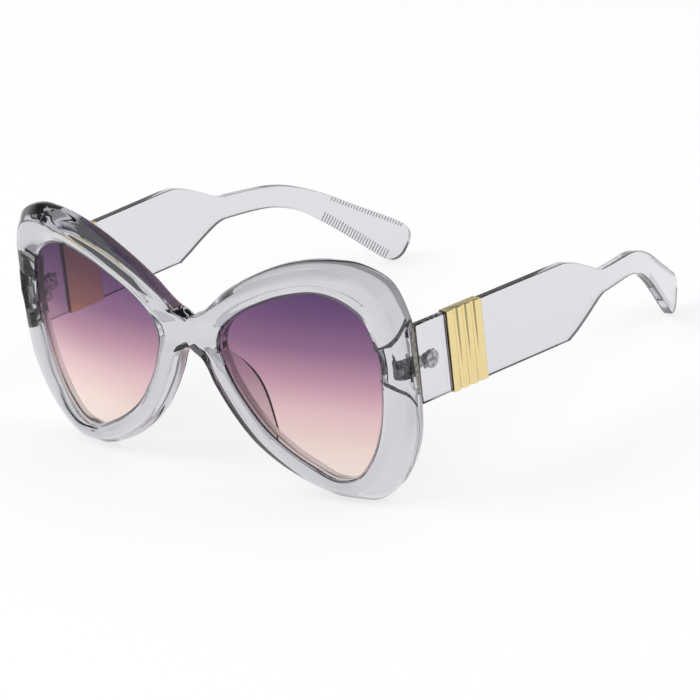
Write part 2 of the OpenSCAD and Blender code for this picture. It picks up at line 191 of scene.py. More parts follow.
@dataclass(frozen=True)
class ClearPlastic(Clear):
    """Transparent grey acetate, injection moulded and tumble polished."""

    tint: str = "#E2E2E6"
    shadow_tint: str = "#C4C4CA"
    depth_tint: str = "#C9C9D2"
    density: float = 30.0
    ior: float = 1.49
    roughness: float = 0.015
    ripple_mm: float = 14.0
    ripple_depth_mm: float = 0.02
    ripple_strength: float = 0.25

    def build(self) -> Material:
        """Makes the material: clear glass-like plastic that darkens with its depth.

        Returns:
            The material.
        """
        material, tree, place = self.start()
        wave = add_node(tree, "TexNoise", {"Vector": place, "Scale": 1 / (self.ripple_mm * MM)})
        deep = self.ripple_depth_mm * MM
        smooth = add_node(tree, "Bump", {"Strength": self.ripple_strength, "Distance": deep, "Height": wave})
        surface = self.surface(tree, linear(self.tint), linear(self.shadow_tint), Normal=smooth)
        tint = {"Color": linear(self.depth_tint), "Density": self.density}
        depth = add_node(tree, "VolumeAbsorption", tint)
        add_node(tree, "OutputMaterial", {"Surface": surface, "Volume": depth})
        return material


@dataclass(frozen=True)
class TintedLens(Clear):
    """Cast lens dipped in dye, so that its tint fades from top to bottom."""

    bottom_mm: float = 5.0
    top_mm: float = 66.0
    stops: tuple[tuple[float, str], ...] = (
        (0.0, "#F8EAE1"), (0.18, "#F6DFD6"), (0.36, "#EAC4C9"), (0.52, "#C396AB"),
        (0.68, "#936A8D"), (0.85, "#704E79"), (1.0, "#553C66"),
    )  # fmt: skip

    def build(self) -> Material:
        """Makes the material: thin tinted glass with a gradient up its height.

        Returns:
            The material.
        """
        material, tree, place = self.start()
        height = add_node(tree, "SeparateXYZ", {0: place}).outputs["Z"]
        ends = {"From Min": self.bottom_mm * MM, "From Max": self.top_mm * MM}
        share = add_node(tree, "MapRange", {"Value": height, **ends})
        colour = set_ramp(add_node(tree, "ValToRGB", {"Fac": share}), self.stops)
        add_node(tree, "OutputMaterial", {"Surface": self.surface(tree, colour, colour)})
        return material


@dataclass(frozen=True)
class Grained(Finish):
    """An opaque finish in two tones, with a grain."""

    colour: str
    dark_colour: str
    roughness: float
    # The real grain is finer than a pixel, and is drawn as coarse as it needs to show
    grain_mm: float
    grain_depth_mm: float
    roughness_spread: float = 0.0
    metallic: float = 0.0
    detail: float = 4.0
    harshness: float = 0.7
    strength: float = 0.5
    tones: Pair = (0.38, 0.66)

    def build(self) -> Material:
        """Makes the material: its tone, gloss and height vary a little over its grain.

        Returns:
            The material.
        """
        material, tree, place = self.start()
        grain = add_node(
            tree, "TexNoise",
            {"Vector": place, "Scale": 1 / (self.grain_mm * MM), "Detail": self.detail,
             "Roughness": self.harshness},
        )  # fmt: skip
        tones = tuple(zip(self.tones, (self.dark_colour, self.colour), strict=True))
        colour = set_ramp(add_node(tree, "ValToRGB", {"Fac": grain}), tones)
        rough: Node | float = self.roughness
        if self.roughness_spread:
            ends = {"To Min": self.roughness, "To Max": self.roughness + self.roughness_spread}
            rough = add_node(tree, "MapRange", {"Value": grain, **ends})
        deep = self.grain_depth_mm * MM
        bump = add_node(tree, "Bump", {"Strength": self.strength, "Distance": deep, "Height": grain})
        look = {"Base Color": colour, "Roughness": rough, "Metallic": self.metallic, "Normal": bump}
        add_node(tree, "OutputMaterial", {"Surface": add_node(tree, "BsdfPrincipled", look)})
        return material


@dataclass(frozen=True)
class CutPlasticOrShade(Grained):
    """A sawn, ground or moulded face of a plastic piece, left unpolished, with its fine marks; its darker
    uses carry painted shade.
    """

    roughness: float = 0.45
    grain_mm: float = 0.9
    grain_depth_mm: float = 0.03


@dataclass(frozen=True)
class Metal(Grained):
    """Plated metal, polished and a little worn."""

    roughness: float = 0.2
    grain_mm: float = 0.4
    grain_depth_mm: float = 0.004
    roughness_spread: float = 0.1
    metallic: float = 1.0
    detail: float = 3.0
    harshness: float = 0.5
    strength: float = 0.4
    tones: Pair = (0.3, 0.6)


class Palette:
    """The materials of the sunglasses, each from what the real one is, save the painted shade on the steps,
    grooves and edges.
    """

    def __init__(self) -> None:
        """Makes every material."""
        # Cellulose acetate, moulded and tumbled: clear and glossy, with a grey cast that grows with depth
        self.plastic = ClearPlastic("clear_grey_acetate_polished").build()
        # The same with less dye: the pads look paler than the rims
        self.pad = ClearPlastic("clear_acetate_nose_pad", density=20.0).build()
        # Dip-dyed lens resin: purple at the brow, rose in the middle and pale peach at the cheek
        self.lens = TintedLens("gradient_dyed_lens").build()
        # Ground rim of a lens, and pressed edge of a pad, left matt; their dark colour is painted shade, a
        # thin dark line round both
        self.ground_edge_shade = CutPlasticOrShade("ground_edge_painted_shade", "#63566A", "#3C3340").build()
        # Sawn acetate: a dull, mottled strip where a temple meets the front
        self.sawn = CutPlasticOrShade("sawn_acetate_end", "#9C9790", "#443F3E").build()
        # Painted shade: the waist's two steps are coloured dark grey to draw the dark lines of shade along
        # them
        self.step = CutPlasticOrShade("waist_step_painted_shade", "#6C6C74", "#2E2E33").build()
        # Matt mould texture, with painted shade: the grip grooves are coloured grey, so they show as fine
        # darker lines
        self.groove_shade = CutPlasticOrShade("grip_grooves_matt_painted_shade", "#BCBCC2", "#929298", grain_mm=0.7).build()
        # Pale gold plating on a polished band: soft warm reflections
        self.gold = Metal(
            "pale_gold_plating_polished", "#EFDCA5", "#E6D197", roughness=0.12, roughness_spread=0.06
        ).build()
        # Barrel-plated nickel on cast hinge halves: mottled through the clear plastic
        self.plated = Metal(
            "nickel_plated_hinge", "#D2D2D6", "#5A5A60", grain_mm=1.1, grain_depth_mm=0.05
        ).build()
        # Turned steel: plain and bright
        self.steel = Metal("steel_screw", "#C4C4C8", "#A3A3A9").build()


# Curves and meshes


def spline(four: Sequence[float], gaps: Sequence[float], t: float) -> float:
    """The value of a smooth curve through four values, between the middle two.

    Args:
        four: The values.
        gaps: The three distances between them.
        t: The share of the way between the middle two.

    Returns:
        The value.
    """
    before, step, after = gaps
    pace = [(q - p) / gap for p, q, gap in zip(four, four[1:], gaps, strict=False)]
    start = (pace[0] * step + pace[1] * before) / (before + step) * step
    end = (pace[1] * after + pace[2] * step) / (step + after) * step
    return (
        four[1] * (2 * t**3 - 3 * t * t + 1) + start * (t**3 - 2 * t * t + t)
        + four[2] * (3 * t * t - 2 * t**3) + end * (t**3 - t * t)
    )  # fmt: skip


def smooth_at(table: Sequence[Sequence[float]], place: float, closed: bool = True) -> list[float]:
    """Reads a table of points along a smooth curve through them.

    Args:
        table: The points.
        place: A count along the table, where whole numbers are its points.
        closed: True if the curve returns to its start.

    Returns:
        The point at that place.
    """
    count = len(table)
    i = math.floor(place)
    if not closed:
        i = min(i, count - 2)
    near = [
        table[(i + k) % count] if closed else table[max(0, min(count - 1, i + k))] for k in (-1, 0, 1, 2)
    ]
    gaps = [math.dist(p, q) if closed else 1.0 for p, q in zip(near, near[1:], strict=False)]
    return [spline([point[axis] for point in near], gaps, place - i) for axis in range(len(table[0]))]


def level_at(table: Sequence[float], place: float) -> float:
    """Reads a closed table of values on straight lines between them."""
    i = math.floor(place)
    return mix(table[i % len(table)], table[(i + 1) % len(table)], place - i)


def mix(a: float, b: float, t: float) -> float:
    """The value a share t of the way from a to b."""
    return a + (b - a) * t


def ease(t: float) -> float:
    """A smooth step from 0 to 1."""
    t = max(0.0, min(1.0, t))
    return t * t * (3 - 2 * t)


def deselect() -> None:
    """Leaves edit mode and deselects everything."""
    if bpy.context.object and bpy.context.object.mode != "OBJECT":
        bpy.ops.object.mode_set(mode="OBJECT")
    bpy.ops.object.select_all(action="DESELECT")


def pick(piece: Piece) -> None:
    """Makes a piece the only selected and active object.

    Args:
        piece: The object.
    """
    deselect()
    piece.select_set(True)
    bpy.context.view_layer.objects.active = piece


def mesh_piece(name: str, points: Sequence[Vector], faces: Sequence[Sequence[int]]) -> Piece:
    """Makes a piece from points in millimetres and faces.

    Args:
        name: The piece's name.
        points: Places in the part's own frame, in millimetres.
        faces: Point numbers of each face.

    Returns:
        The new piece, at the origin.
    """
    mesh = bpy.data.meshes.new(name)
    mesh.from_pydata([Vector(p) * MM for p in points], [], faces)
    mesh.validate()
    piece = bpy.data.objects.new(name, mesh)
    bpy.context.scene.collection.objects.link(piece)
    return piece


def skin(name: str, rings: Sequence[Sequence[Vector]], loop: bool) -> Piece:
    """Makes a skin over a list of rings.

    Args:
        name: The piece's name.
        rings: Rings of equally many points, in millimetres.
        loop: True if the last ring joins the first, and else each end is closed by a fan.

    Returns:
        The new piece.
    """
    n, m = len(rings), len(rings[0])
    points = [p for ring in rings for p in ring]
    faces: list[tuple[int, ...]] = [
        (i * m + j, (i + 1) % n * m + j, (i + 1) % n * m + (j + 1) % m, i * m + (j + 1) % m)
        for i in range(n if loop else n - 1) for j in range(m)
    ]  # fmt: skip
    if not loop:
        for ring, start, turned in ((rings[0], 0, False), (rings[-1], (n - 1) * m, True)):
            points.append(sum((Vector(p) for p in ring), Vector()) / m)
            for j in range(m):
                pair = (start + j, start + (j + 1) % m)
                faces.append((len(points) - 1, *(reversed(pair) if turned else pair)))
    return mesh_piece(name, points, faces)


def add_modifier(piece: Piece, kind: str, **settings) -> None:
    """Adds a modifier to a piece and applies it at once.

    Args:
        piece: The piece.
        kind: The modifier's type.
        **settings: Attributes of the modifier.
    """
    pick(piece)
    modifier = piece.modifiers.new(kind.lower(), kind)
    for name, value in settings.items():
        setattr(modifier, name, value)
    bpy.ops.object.modifier_apply(modifier=modifier.name)


def bevel(piece: Piece, width_mm: float, sharp_deg: float, segments: int = 3) -> None:
    """Rounds the sharp edges of a piece.

    Args:
        piece: The piece.
        width_mm: The rounding's width.
        sharp_deg: Edges sharper than this are rounded.
        segments: The number of facets across a rounding.
    """
    add_modifier(
        piece, "BEVEL", width=width_mm * MM, segments=segments, limit_method="ANGLE",
        angle_limit=math.radians(sharp_deg),
    )  # fmt: skip


def tidy(piece: Piece, merge_mm: float = 0.002, sharp_deg: float = 38.0) -> None:
    """Merges doubles, turns the faces outwards and shades the piece smooth up to an angle.

    Args:
        piece: The piece.
        merge_mm: Points closer than this become one.
        sharp_deg: Edges sharper than this stay sharp.
    """
    pick(piece)
    bpy.ops.object.mode_set(mode="EDIT")
    bpy.ops.mesh.select_all(action="SELECT")
    bpy.ops.mesh.remove_doubles(threshold=merge_mm * MM)
    bpy.ops.mesh.normals_make_consistent(inside=False)
    bpy.ops.object.mode_set(mode="OBJECT")
    bpy.ops.object.shade_smooth_by_angle(angle=math.radians(sharp_deg))
    deselect()


def seat(piece: Piece, slot: str, body: str, *nodes: str) -> None:
    """Puts a finished piece on its body in its node's stead.

    Args:
        piece: The finished piece.
        slot: A material slot's name, which is not used.
        body: The body that it rides on.
        *nodes: CAD nodes that it stands for.
    """
    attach(piece, body)
    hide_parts(*nodes)
    LOG.info("%s: %d faces on %s", piece.name, len(piece.data.polygons), body)


def paint(piece: Piece, chosen: Callable[[Face], int], *materials: Material) -> None:
    """Gives the faces of a piece their materials.

    Args:
        piece: The piece.
        chosen: Tells the number of a face's material.
        *materials: The materials, the piece's own first.
    """
    piece.data.materials.clear()
    for material in materials:
        piece.data.materials.append(material)
    for face in piece.data.polygons:
        face.material_index = chosen(face)


# Sub-assemblies


@dataclass
class Front:
    """The clear front with its two rims, the lenses in their grooves and the bonded nose pads.

    Sizes are in millimetres, in the part's own frame.
    """

    lens_w: float = 52.2
    lens_h: float = 58.0
    lens_gap: float = 23.0
    lens_t: float = 2.0
    lens_seat: float = 0.9
    rim_side: float = 9.6
    rim_top: float = 9.6
    brow_over: float = 0.09
    rim_foot: float = 6.5
    rim_back: float = 5.2
    rim_lip: float = 1.0
    rim_crown: float = 2.4
    rim_slope: float = 3.8
    waist_drop: float = 1.6
    lobe_swell: float = 3.0
    wrap_r: float = 270.0
    front_tilt: float = 2.5
    pad_depth: float = 7.0
    pad_w: float = 3.4
    pad_edge: float = 1.8
    groove_gap: float = 0.15
    seat_gap: float = 0.06
    face_y: float = 80.8
    seat_y: float = -66.7
    tilt_share: float = 0.543
    # The waist's two ends as places along the outlines, and half the length of the step at each
    waist: Pair = (9.0, 11.0)
    step_count: float = 0.1
    lip_edge: float = 0.35
    lip_chamfer: float = 1.3
    seat_w: float = 3.2
    slope_bulge: float = 0.9
    crest_round: float = 1.4
    ring_steps: int = 8
    step_rings: int = 8
    rear_round: float = 0.6
    side_band: float = 3.0
    # Outline of the lens opening, from the top of the bridge over the brow and round the cheek
    lens_shares: tuple[Pair, ...] = (
        (0.015, 0.691), (0.052, 0.748), (0.132, 0.814), (0.301, 0.900), (0.504, 0.971),
        (0.692, 1.000), (0.841, 0.960), (0.931, 0.888), (0.969, 0.802), (0.985, 0.735),
        (1.000, 0.633), (0.999, 0.575), (0.979, 0.412), (0.937, 0.260), (0.868, 0.122),
        (0.761, 0.019), (0.638, 0.000), (0.508, 0.053), (0.362, 0.129), (0.239, 0.219),
        (0.136, 0.336), (0.059, 0.453), (0.019, 0.547), (0.002, 0.612), (0.002, 0.653),
    )  # fmt: skip
    # Outline of the rim at the same places
    rim_shares: tuple[Pair, ...] = (
        (0.000, 0.667), (0.080, 0.718), (0.178, 0.802), (0.333, 0.897), (0.491, 0.965),
        (0.662, 1.000), (0.824, 0.988), (0.930, 0.925), (0.964, 0.850), (0.981, 0.785),
        (0.992, 0.600), (0.992, 0.430), (0.981, 0.310), (0.943, 0.200), (0.878, 0.095),
        (0.777, 0.011), (0.640, -0.004), (0.495, 0.038), (0.368, 0.106), (0.263, 0.189),
        (0.171, 0.306), (0.103, 0.423), (0.050, 0.527), (0.000, 0.560), (0.000, 0.620),
    )  # fmt: skip
    # The crown's height, the slope's width and the lobes' swelling at the same places
    crown_shares: tuple[float, ...] = (
        0.15, 0.7, 0.85, 1, 1, 1, 1, 1, 1, 0.9, 0.8, 0.9, 1,
        1, 0.9, 0.75, 0.8, 0.75, 0.75, 0.75, 0.75, 0.7, 0.5, 0.2, 0.1,
    )  # fmt: skip
    slope_shares: tuple[float, ...] = (
        0, 0.25, 0.7, 0.9, 1, 1, 1, 1, 1, 1, 0.5, 1, 1,
        1.1, 1.2, 1.2, 0.9, 0.6, 0.45, 0.35, 0.25, 0.2, 0.2, 0, 0,
    )  # fmt: skip
    swell_shares: tuple[float, ...] = (
        0, 0, 0, 0, 0, 0, 0, 0, 0, -1.3, 0, 1.1, 0,
        0, 0, 0, 0, 0, 0, 0, 0, 0, 0, 0, 0,
    )  # fmt: skip
    # Ends of the nose pads, as shares of the way round the outlines
    pad_shares: Pair = (0.904, 0.744)
    # Across the rim, as shares of its width: the crown's foot and middle, and two points of the rear
    crown_places: Pair = (0.3, 0.5)
    rear_places: Pair = (0.4, 0.12)
    # Heights of the crown's foot and crest as shares of its middle; the crest's fall in the waist
    crown_heights: Pair = (0.95, 0.86)
    crest_fall: float = 0.4
    # The waist's fall at its upper and its lower end, as shares of its drop
    waist_falls: Pair = (1.5, 0.65)
    # The slope's middle: its place across, and how far back it lies in the rim
    slope_middle: float = 0.42
    slope_back: float = 0.22
    # The swelling's power, and the factor that makes its highest point 1
    swell_power: int = 6
    swell_norm: float = 1.61
    # A rounding so large that it takes up the whole of the shorter side
    full_round: float = 9.0
    # Spread of the close sections about a step, and the room kept for them, in lengths of the step
    close_share: float = 1.2
    clear_share: float = 1.25
    # Middle of a lens as shares of its width and height, its rings and its eased edge
    lens_middle: Pair = (0.5, 0.55)
    lens_rings: tuple[float, ...] = (0.02, 0.12, 0.25, 0.38, 0.5, 0.62, 0.72, 0.82, 0.9, 0.96, 0.995)
    lens_ease: float = 0.2
    # Faces of a lens that look less to the front than this are its ground edge
    lens_edge_normal: float = 0.6
    # The pads' sections, roundings and lean, and how soon they grow to their full width
    pad_steps: int = 40
    pad_round: float = 0.6
    pad_corner: float = 1.2
    pad_corner_points: int = 4
    pad_start: float = 0.5
    pad_lean: float = 0.42
    pad_growth: Pair = (3.0, 0.25)
    merge_mm: float = 0.002
    # Points of a section where its rear starts, and those of the temple's sawn seat
    rear_point: int = 28
    seat_points: tuple[int, int] = (33, 36)
    seat_end_count: float = 0.25
    # Points of a pad's section on its rear edge and at its two seams
    pad_edge_points: tuple[int, ...] = (2, *range(11, 20), 28)

    @property
    def half_w(self) -> float:
        """Half the front's width."""
        return self.lens_gap / 2 + self.lens_w + self.rim_side

    @property
    def height(self) -> float:
        """The front's height."""
        return self.rim_foot + self.lens_h + self.rim_top

    def face_at(self, x: float, z: float) -> float:
        """Depth of the lens face at a place across and up the front."""
        lean = (z - self.height * self.tilt_share) * math.tan(math.radians(self.front_tilt))
        return x * x / (2 * self.wrap_r) - self.face_y - lean

    def rear_at(self, x: float, z: float) -> float:
        """Depth of the rim's rear face."""
        return min(self.face_at(x, z) + self.rim_back, self.seat_y)

    def lens_place(self, u: float) -> Vector:
        """A place on the lens opening's outline, across and up."""
        x, z = smooth_at(self.lens_shares, u)
        return Vector((self.lens_gap / 2 + self.lens_w * x, self.rim_foot + self.lens_h * z))

    def rim_place(self, u: float) -> Vector:
        """A place on the rim's outline, never past the middle, floor or top.

        Args:
            u: The place along the outlines.

        Returns:
            The place across and up.
        """
        x, z = smooth_at(self.rim_shares, u)
        top = self.height + self.brow_over
        return Vector((max(0.0, self.half_w * x), min(top, max(0.0, self.height * z))))

    def waist_at(self, u: float) -> float:
        """How far a place belongs to the waist.

        Args:
            u: The place along the outlines.

        Returns:
            0 on the lobes and 1 between them, with a smooth step from one to the other.
        """
        start, end = self.waist
        return min(
            ease((u - start + self.step_count) / (2 * self.step_count)),
            ease((end + self.step_count - u) / (2 * self.step_count)),
        )

    def counts(self) -> list[float]:
        """Spaces the rim's sections, closer together at the waist's two steps.

        Returns:
            Their places along the outlines, in order.
        """
        even = [i / self.ring_steps for i in range(len(self.lens_shares) * self.ring_steps)]
        close = [
            middle + self.step_count * self.close_share * (2 * k / self.step_rings - 1)
            for middle in self.waist
            for k in range(self.step_rings + 1)
        ]
        room = self.step_count * self.clear_share
        kept = [u for u in even if all(abs(u - middle) > room for middle in self.waist)]
        return sorted(kept + close)

    def section(self, u: float) -> list[Vector]:
        """One section of the rim, with its corners rounded.

        Args:
            u: The place along the outlines.

        Returns:
            Points from the lens opening over the front to the outside, back across the rear
            and into the lens groove.
        """
        inner, outer = self.lens_place(u), self.rim_place(u)
        wide = (outer - inner).length
        along = (outer - inner) / wide
        bridge = outer.x == 0.0
        crown = self.rim_crown * level_at(self.crown_shares, u)
        slope = 0.0 if bridge else self.rim_slope * level_at(self.slope_shares, u)
        edge = 0.0 if bridge else self.rear_round
        swell = self.lobe_swell * level_at(self.swell_shares, u)
        waist = self.waist_at(u)
        start, end = self.waist
        low = self.rim_crown - self.waist_drop * mix(*self.waist_falls, (u - start) / (end - start))
        crest_low = self.rim_crown - self.waist_drop * self.crest_fall
        shoulder = self.slope_bulge * slope / self.rim_slope - self.rim_back * self.slope_back
        side = self.side_band - self.rim_back

        def put(out: float, deep: Callable[[float, float], float], lift: float = 0.0) -> Vector:
            """A point at a distance outwards, at the depth that a rule gives there."""
            place = inner + along * out + Vector((0, lift))
            return Vector((place.x, deep(place.x, place.y), place.y))

        def front(out: float, lobe: float, dip: float) -> Vector:
            """A point of the front surface, between its height on a lobe and in the waist.

            Args:
                out: The distance outwards from the lens opening.
                lobe: The height over the lens face on a lobe.
                dip: The height in the waist.

            Returns:
                The point.
            """
            across = out / wide
            lift = swell * self.swell_norm * across * (1 - across**self.swell_power)
            raised = mix(lobe, dip, waist)
            return put(out, lambda x, z: min(self.face_at(x, z) - raised, self.seat_y - self.side_band), lift)

        def rear(x: float, z: float) -> float:
            """Depth of the rear face, which reaches the hinge's seat in the waist."""
            return mix(self.rear_at(x, z), self.seat_y, waist)

        def behind(gap: float) -> Callable[[float, float], float]:
            """The rule for a depth behind the lens face."""
            return lambda x, z: self.face_at(x, z) + gap

        groove = self.lens_seat + self.groove_gap
        front_wall, rear_wall = behind(-self.groove_gap), behind(self.lens_t + self.groove_gap)
        foot, middle = (wide * share for share in self.crown_places)
        rear_middle, rear_lip = (wide * share for share in self.rear_places)
        foot_height, crest_height = (crown * share for share in self.crown_heights)
        # Corners, each with its rounding in millimetres and its number of points
        corners = [
            (front(0, self.lip_edge, self.lip_edge), 0.2, 4),
            (front(self.lip_chamfer, self.rim_lip, self.rim_lip), 0.3, 3),
            (front(foot, foot_height, low), self.full_round, 3),
            (front(middle, crown, low), self.full_round, 3),
            (front(wide - slope, crest_height, crest_low), self.crest_round, 8),
            (front(wide - slope * self.slope_middle, shoulder, shoulder), self.full_round, 5),
            (front(wide, side, side), 0.7, 4),
            (put(wide, lambda x, z: rear(x, z) - self.rear_round), self.full_round, 3),
            (put(wide - edge, rear), self.full_round, 3),
            (put(wide - self.seat_w, rear), 0.0, 1),
            (put(rear_middle, rear), 3.0, 3),
            (put(rear_lip, self.rear_at), 3.0, 3),
            (put(0, behind(self.rim_back - self.rear_round)), 0.4, 4),
            (put(0, rear_wall), 0.0, 1),
            (put(groove, rear_wall), 0.0, 1),
            (put(groove, front_wall), 0.0, 1),
            (put(0, front_wall), 0.0, 1),
        ]
        return self.rounded(corners, (4, 8) if bridge else ())

    @staticmethod
    def rounded(corners: list[tuple[Vector, float, int]], kept: Sequence[int] = ()) -> list[Vector]:
        """Rounds a section's corners.

        Args:
            corners: Points, each with its rounding and its number of points.
            kept: The first and the last corner of the stretch on the middle of the bridge, which stays.

        Returns:
            The rounded section.
        """
        points: list[Vector] = []
        for i, (corner, radius, steps) in enumerate(corners):
            if steps == 1:
                points.append(corner)
                continue
            before, after = corners[i - 1][0] - corner, corners[(i + 1) % len(corners)][0] - corner
            cuts = [min(radius, way.length * ROUND_SHARE) for way in (before, after)]
            if i in kept:
                cuts[kept.index(i)] = 0.0
            start, end = corner + before.normalized() * cuts[0], corner + after.normalized() * cuts[1]
            for k in range(steps):
                t = k / (steps - 1)
                points.append(start * (1 - t) ** 2 + corner * 2 * t * (1 - t) + end * t * t)
        return points

    def build_frame(self, palette: Palette) -> None:
        """Builds the whole front: one rim as a closed skin of sections, mirrored across the bridge.

        Args:
            palette: The materials.
        """
        counts = self.counts()
        rings = [self.section(u) for u in counts]
        piece = skin("clear_front", rings, loop=True)
        start, end = self.waist

        def chosen(face: Face) -> int:
            """Finds the steps at the waist's ends, painted dark as shade, and the sawn seat between them.

            Args:
                face: A face of the skin.

            Returns:
                1 on a step, which gets painted shade, 2 on the seat and 0 on the polished plastic.
            """
            place, point = divmod(face.index, len(rings[0]))
            u = (counts[place] + counts[(place + 1) % len(counts)]) / 2
            from_start, from_end = abs(u - start), abs(u - end)
            if point < self.rear_point and (from_start < self.step_count or from_end < self.step_count / 2):
                return 1
            near = min(from_start, from_end) < self.seat_end_count
            first = self.seat_points[0] if near else self.rear_point + 1
            return 2 if start < u < end and first <= point < self.seat_points[1] else 0

        # The steps are painted dark grey as shade; the seat gets its sawn finish
        paint(piece, chosen, palette.plastic, palette.step, palette.sawn)
        self.drop_middle_faces(piece)
        add_modifier(piece, "MIRROR", use_axis=(True, False, False), merge_threshold=self.merge_mm * MM)
        tidy(piece)
        seat(piece, "clear_plastic", Body.FRONT.value, "front_frame")

    @staticmethod
    def drop_middle_faces(piece: Piece) -> None:
        """Deletes the faces that lie in the plane where the two rims meet.

        Args:
            piece: One half of the front.
        """
        shape = bmesh.new()
        shape.from_mesh(piece.data)
        inside = [f for f in shape.faces if all(abs(v.co.x) < NEAR for v in f.verts)]
        bmesh.ops.delete(shape, geom=inside, context="FACES")
        shape.to_mesh(piece.data)
        shape.free()

    def build_lens(self, side: Side, palette: Palette) -> None:
        """Builds one lens: the opening's outline grown into the groove, on the curved face.

        Args:
            side: The lens's side.
            palette: The materials.
        """
        across, up = self.lens_middle
        centre = Vector((self.lens_gap / 2 + self.lens_w * across, self.rim_foot + self.lens_h * up))
        counts = self.counts()

        def ring(share: float, deep: float) -> list[Vector]:
            """One ring of the lens.

            Args:
                share: The share of the way from the middle to the edge.
                deep: The depth behind the lens face.

            Returns:
                The ring's points.
            """
            points = []
            for u in counts:
                inner, outer = self.lens_place(u), self.rim_place(u)
                edge = inner + (outer - inner).normalized() * self.lens_seat
                place = centre.lerp(edge, share)
                depth = self.face_at(place.x, place.y) + deep
                points.append(Vector((side.value * place.x, depth, place.y)))
            return points

        rings = [ring(share, self.lens_t) for share in self.lens_rings]
        rings += [ring(1.0, deep) for deep in (self.lens_t - self.lens_ease, self.lens_ease)]
        rings += [ring(share, 0.0) for share in reversed(self.lens_rings)]
        piece = skin(f"gradient_lens_{side.word}", rings, loop=False)
        tidy(piece)
        # The lens's ground edge is painted dark as a line of shade
        paint(piece, lambda face: abs(face.normal.y) < self.lens_edge_normal, palette.lens, palette.ground_edge_shade)
        seat(piece, "tinted_lens", Body.FRONT.value, f"lens_{side.word}")

    def pad_section(self, t: float) -> list[Pair]:
        """The corners of a nose pad's section.

        Args:
            t: The share of the way down the pad.

        Returns:
            Each corner's distance inwards from the rim's outline, and its depth behind the rim.
        """
        arch = math.sin(math.pi * t)
        steep, least = self.pad_growth
        fade = min(1.0, arch * steep + least)
        foot, edge, low = self.pad_w * fade, self.pad_edge * fade, self.pad_round
        deep = low * 2 + (self.pad_depth - low * 2) * arch
        start, lean = self.pad_start + self.pad_w * (1 - fade) / 2, self.pad_lean * deep
        rear = [
            (start + (foot + wide) / 2 + lean, back)
            for wide, back in ((-edge, deep - low), (-edge / 2, deep), (edge / 2, deep), (edge, deep - low))
        ]
        return [(start, 0.0), (start, low), *rear, (start + foot, low), (start + foot, 0.0)]

    def build_pad(self, side: Side, palette: Palette) -> None:
        """Builds one nose pad: a fin bonded behind the rim along the nose, deepest at mid height.

        Args:
            side: The pad's side.
            palette: The materials.
        """
        top, bottom = (share * len(self.lens_shares) for share in self.pad_shares)
        rings = []
        for i in range(self.pad_steps + 1):
            t = i / self.pad_steps
            u = mix(top, bottom, t)
            inner, outer = self.lens_place(u), self.rim_place(u)
            along = (inner - outer).normalized()
            corners = []
            for across, back in self.pad_section(t):
                place = outer + along * across
                depth = self.rear_at(place.x, place.y) + self.seat_gap + back
                point = Vector((side.value * place.x, depth, place.y))
                corners.append((point, self.pad_corner, self.pad_corner_points))
            rings.append(self.rounded(corners))
        piece = skin(f"clear_nose_pad_{side.word}", rings, loop=False)
        count = len(rings[0])

        def chosen(face: Face) -> bool:
            """True on the rear edge and the seams, which get a painted dark line as shade, but not on the
            closed ends.
            """
            return face.index < self.pad_steps * count and face.index % count in self.pad_edge_points

        # The pad's rear edge and seams are painted dark as a line of shade
        paint(piece, chosen, palette.pad, palette.ground_edge_shade)
        tidy(piece)
        seat(piece, "pad_plastic", Body.FRONT.value, f"nose_pad_{side.word}")

    def build(self, palette: Palette) -> None:
        """Builds all of the front's own pieces.

        Args:
            palette: The materials.
        """
        self.build_frame(palette)
        for side in Side:
            self.build_lens(side, palette)
            self.build_pad(side, palette)


